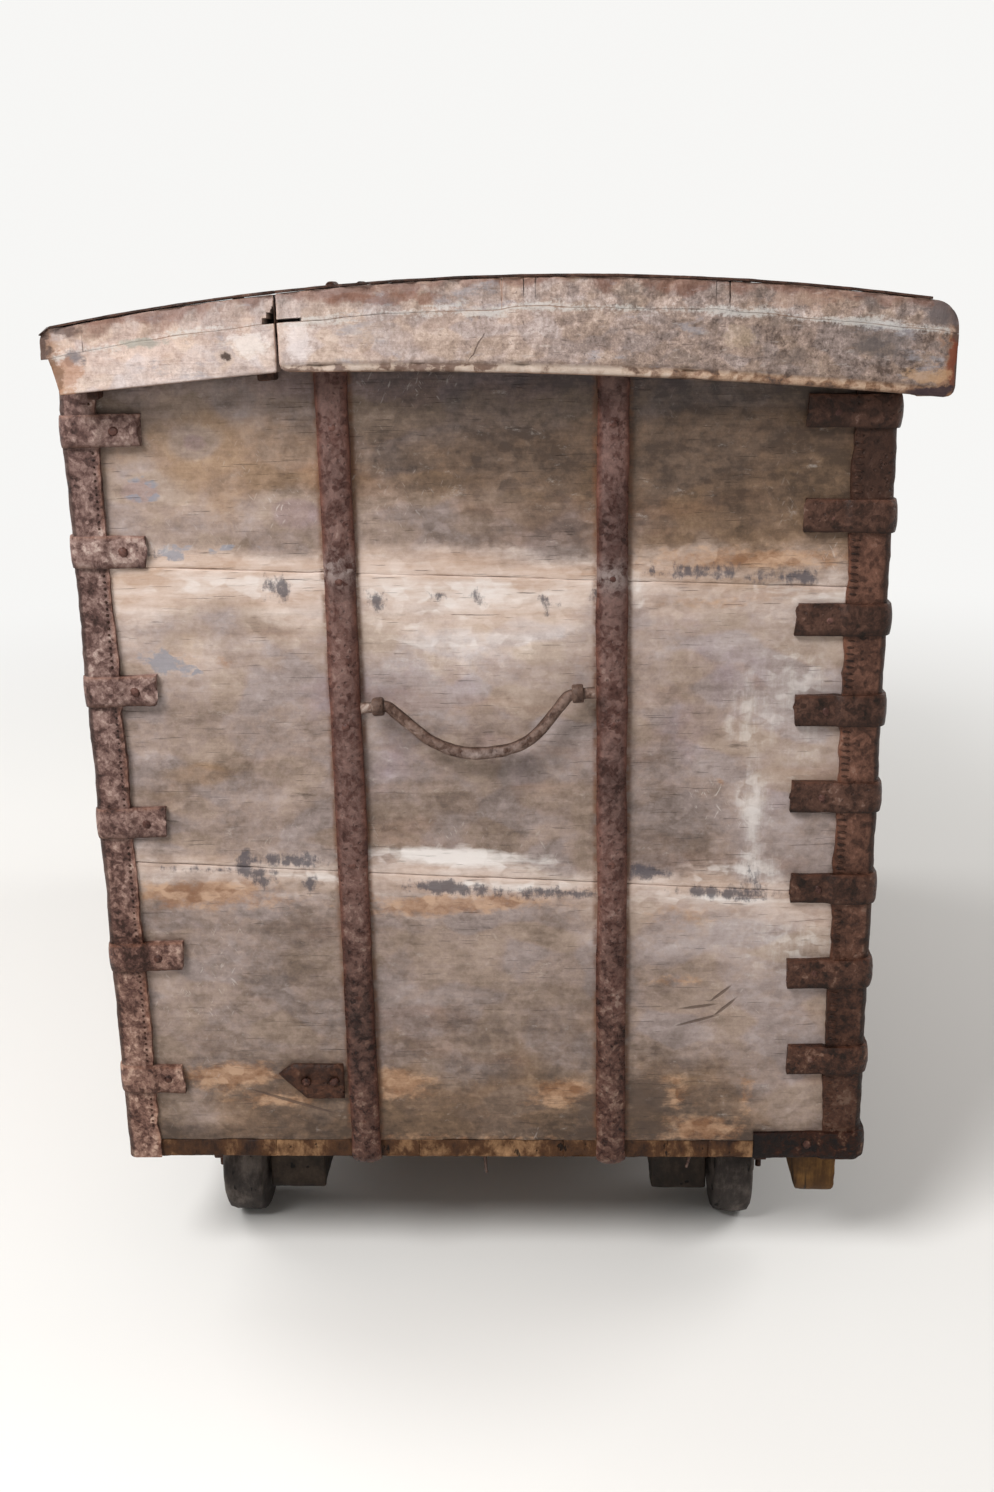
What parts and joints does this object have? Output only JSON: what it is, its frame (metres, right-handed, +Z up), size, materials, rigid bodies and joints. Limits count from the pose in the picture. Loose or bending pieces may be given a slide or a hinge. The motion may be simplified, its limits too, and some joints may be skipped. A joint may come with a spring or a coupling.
{
  "type": "wheeled wedding chest",
  "caption": "Iron-bound plank wedding chest with an arched, part-hinged top, bail handles on the ends, a hasp and staple, and small wooden wheels.",
  "frame": {"origin": "middle of the bounding box on the floor under the wheels", "axes": "+X along the chest towards its right end, -Y the front with the hasp, +Z up"},
  "size_m": [1.196, 0.7519, 0.9407],
  "materials": {
    "plank_wood": "weathered grey-brown hardwood, worn orange at the seams",
    "lid_wood": "worn pinkish hardwood with rough end grain",
    "floor_wood": "rough stained boards",
    "bracket_wood": "newer yellow-brown wood",
    "wheel_wood": "dusty grey-brown turned wood",
    "rusty_strap_iron": "rusted and pitted wrought iron",
    "dark_iron": "dark rusted wrought iron",
    "handle_iron": "brown iron rubbed smooth by use"
  },
  "bodies": {
    "chest": {"axle_blocks": "floor_wood", "axle_pins": "dark_iron", "body_nails": "dark_iron", "floor_boards": "floor_wood", "front_brackets": "bracket_wood", "front_clasps": "rusty_strap_iron", "front_left_corner_iron": "rusty_strap_iron", "front_lower_plank": "plank_wood", "front_middle_plank": "plank_wood", "front_right_corner_iron": "rusty_strap_iron", "front_shoes": "rusty_strap_iron", "front_straps": "rusty_strap_iron", "front_upper_plank": "plank_wood", "handle_eyes": "handle_iron", "hinge_pins": "dark_iron", "hinge_rail": "lid_wood", "left_end_lower_plank": "plank_wood", "left_end_middle_plank": "plank_wood", "left_end_straps": "rusty_strap_iron", "left_end_upper_plank": "plank_wood", "linch_pins": "dark_iron", "lock_plate": "dark_iron", "lock_staple": "dark_iron", "mending_plate": "rusty_strap_iron", "rear_clasps": "rusty_strap_iron", "rear_edge_straps": "dark_iron", "rear_hinge_leaves": "dark_iron", "rear_left_corner_iron": "rusty_strap_iron", "rear_left_fascia": "lid_wood", "rear_lower_plank": "plank_wood", "rear_middle_plank": "plank_wood", "rear_right_corner_iron": "rusty_strap_iron", "rear_right_fascia": "lid_wood", "rear_straps": "rusty_strap_iron", "rear_top_board": "lid_wood", "rear_upper_plank": "plank_wood", "right_end_lower_plank": "plank_wood", "right_end_middle_plank": "plank_wood", "right_end_straps": "rusty_strap_iron", "right_end_upper_plank": "plank_wood"},
    "lid": {"lid_front_board": "lid_wood", "lid_middle_board": "lid_wood", "lid_rear_board": "lid_wood", "lid_left_fascia": "lid_wood", "lid_right_fascia": "lid_wood", "lid_front_fascia": "lid_wood", "lid_battens": "lid_wood", "lid_edge_straps": "dark_iron", "lid_hinge_leaves": "dark_iron", "lid_nails": "dark_iron", "hasp_plate": "dark_iron", "hasp_pin": "dark_iron"},
    "hasp": {"hasp": "dark_iron"},
    "left_handle": {"left_handle": "handle_iron"},
    "right_handle": {"right_handle": "handle_iron"},
    "front_left_wheel": {"front_left_wheel": "wheel_wood"},
    "front_right_wheel": {"front_right_wheel": "wheel_wood"},
    "rear_left_wheel": {"rear_left_wheel": "wheel_wood"},
    "rear_right_wheel": {"rear_right_wheel": "wheel_wood"}
  },
  "joints": [
    {"name": "lid_hinge", "type": "hinge", "parent": "chest", "child": "lid", "pos_m": [0, 0.18035, 0.93162], "axis": [-1, 0, 0], "range_deg": [0, 105]},
    {"name": "hasp_swing", "type": "hinge", "parent": "lid", "child": "hasp", "pos_m": [0, -0.36995, 0.8508], "axis": [-1, 0, 0], "range_deg": [0, 120]},
    {"name": "left_handle_swing", "type": "hinge", "parent": "chest", "child": "left_handle", "pos_m": [-0.579, 0.02535, 0.585], "axis": [0, 0.9982, -0.0593], "range_deg": [0, 100]},
    {"name": "right_handle_swing", "type": "hinge", "parent": "chest", "child": "right_handle", "pos_m": [0.579, 0.02535, 0.585], "axis": [0, -0.9982, 0.0593], "range_deg": [0, 100]},
    {"name": "front_left_wheel_spin", "type": "hinge", "parent": "chest", "child": "front_left_wheel", "pos_m": [-0.44, -0.21765, 0.062], "axis": [0, 1, 0], "continuous": true},
    {"name": "front_right_wheel_spin", "type": "hinge", "parent": "chest", "child": "front_right_wheel", "pos_m": [0.44, -0.21765, 0.062], "axis": [0, 1, 0], "continuous": true},
    {"name": "rear_left_wheel_spin", "type": "hinge", "parent": "chest", "child": "rear_left_wheel", "pos_m": [-0.44, 0.28035, 0.062], "axis": [0, 1, 0], "continuous": true},
    {"name": "rear_right_wheel_spin", "type": "hinge", "parent": "chest", "child": "rear_right_wheel", "pos_m": [0.44, 0.28035, 0.062], "axis": [0, 1, 0], "continuous": true}
  ]
}
